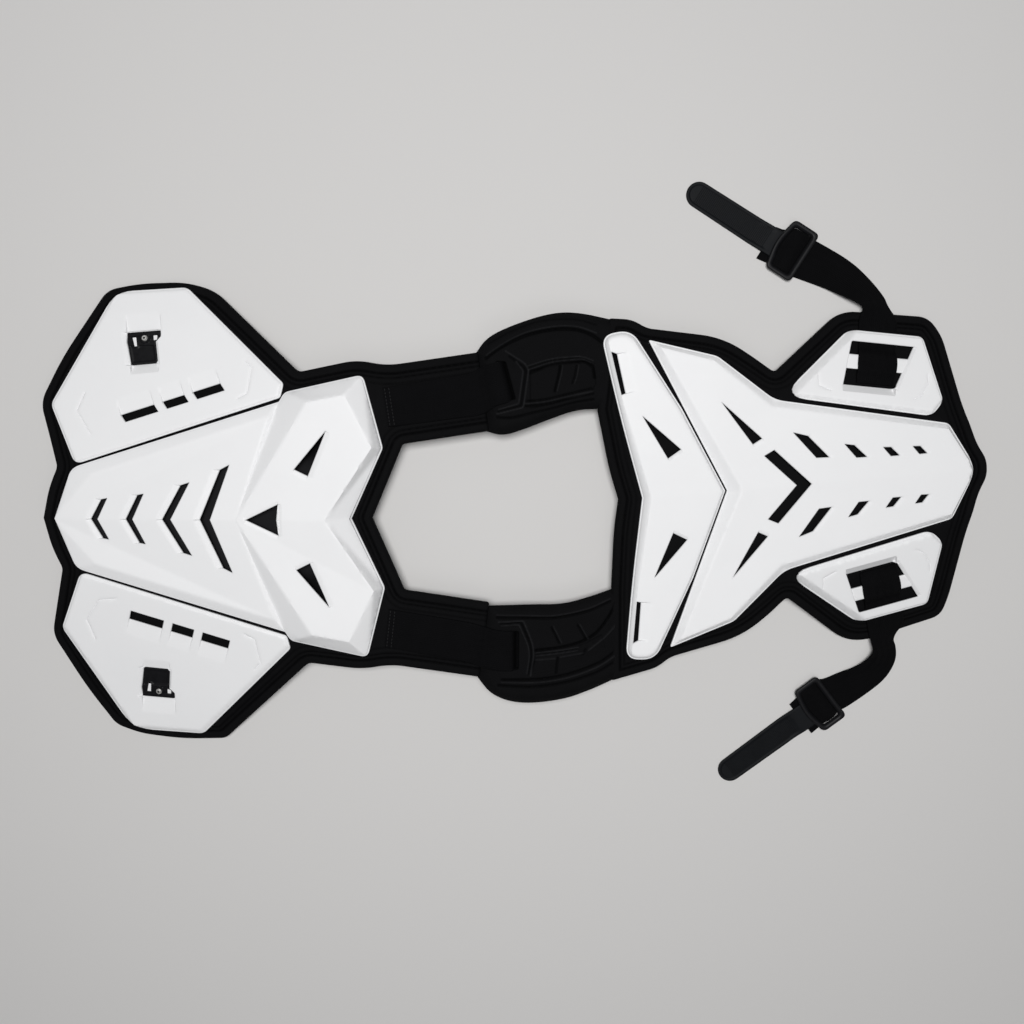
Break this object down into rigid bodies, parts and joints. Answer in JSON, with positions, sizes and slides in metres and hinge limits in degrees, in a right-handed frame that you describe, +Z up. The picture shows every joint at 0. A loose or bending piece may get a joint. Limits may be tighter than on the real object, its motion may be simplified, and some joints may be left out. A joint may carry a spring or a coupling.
{
  "type": "motocross chest protector",
  "caption": "Motocross chest protector laid open and flat: white moulded chest and back plates on black foam pads, shoulder pads between them, webbing waist straps with slider buckles.",
  "frame": {"origin": "on the ground under the middle of the laid-out protector's bounding box", "axes": "+X from the chest panel to the back panel, +Y across towards the upper waist strap, +Z up out of the plates' outer faces"},
  "size_m": [0.9124, 0.5952, 0.0568],
  "materials": {
    "white_plastic": "satin white injection moulding",
    "black_foam": "matte moulded foam with a knit face",
    "black_webbing": "matte woven webbing",
    "dark_plastic": "fine moulded grain",
    "dark_rubber": "matte with fine cross ribs",
    "steel": "plain domed rivet head"
  },
  "bodies": {
    "root": {"front_pad": "black_foam", "front_plate": "white_plastic", "front_wing_upper": "white_plastic", "front_wing_lower": "white_plastic", "clip_hook_upper": "dark_plastic", "clip_hook_lower": "dark_plastic", "clip_rivet_upper": "steel", "clip_rivet_lower": "steel", "back_pad": "black_foam", "collar_plate": "white_plastic", "back_plate": "white_plastic", "back_wing_upper": "white_plastic", "back_wing_lower": "white_plastic", "shoulder_pad_upper": "black_foam", "shoulder_pad_lower": "black_foam", "hook_strap_upper": "black_webbing", "hook_strap_lower": "black_webbing", "waist_strap_upper": "black_webbing", "waist_strap_lower": "black_webbing", "slider_buckle_upper": "dark_plastic", "slider_buckle_lower": "dark_plastic", "strap_tongue_upper": "dark_rubber", "strap_tongue_lower": "dark_rubber"}
  },
  "joints": []
}
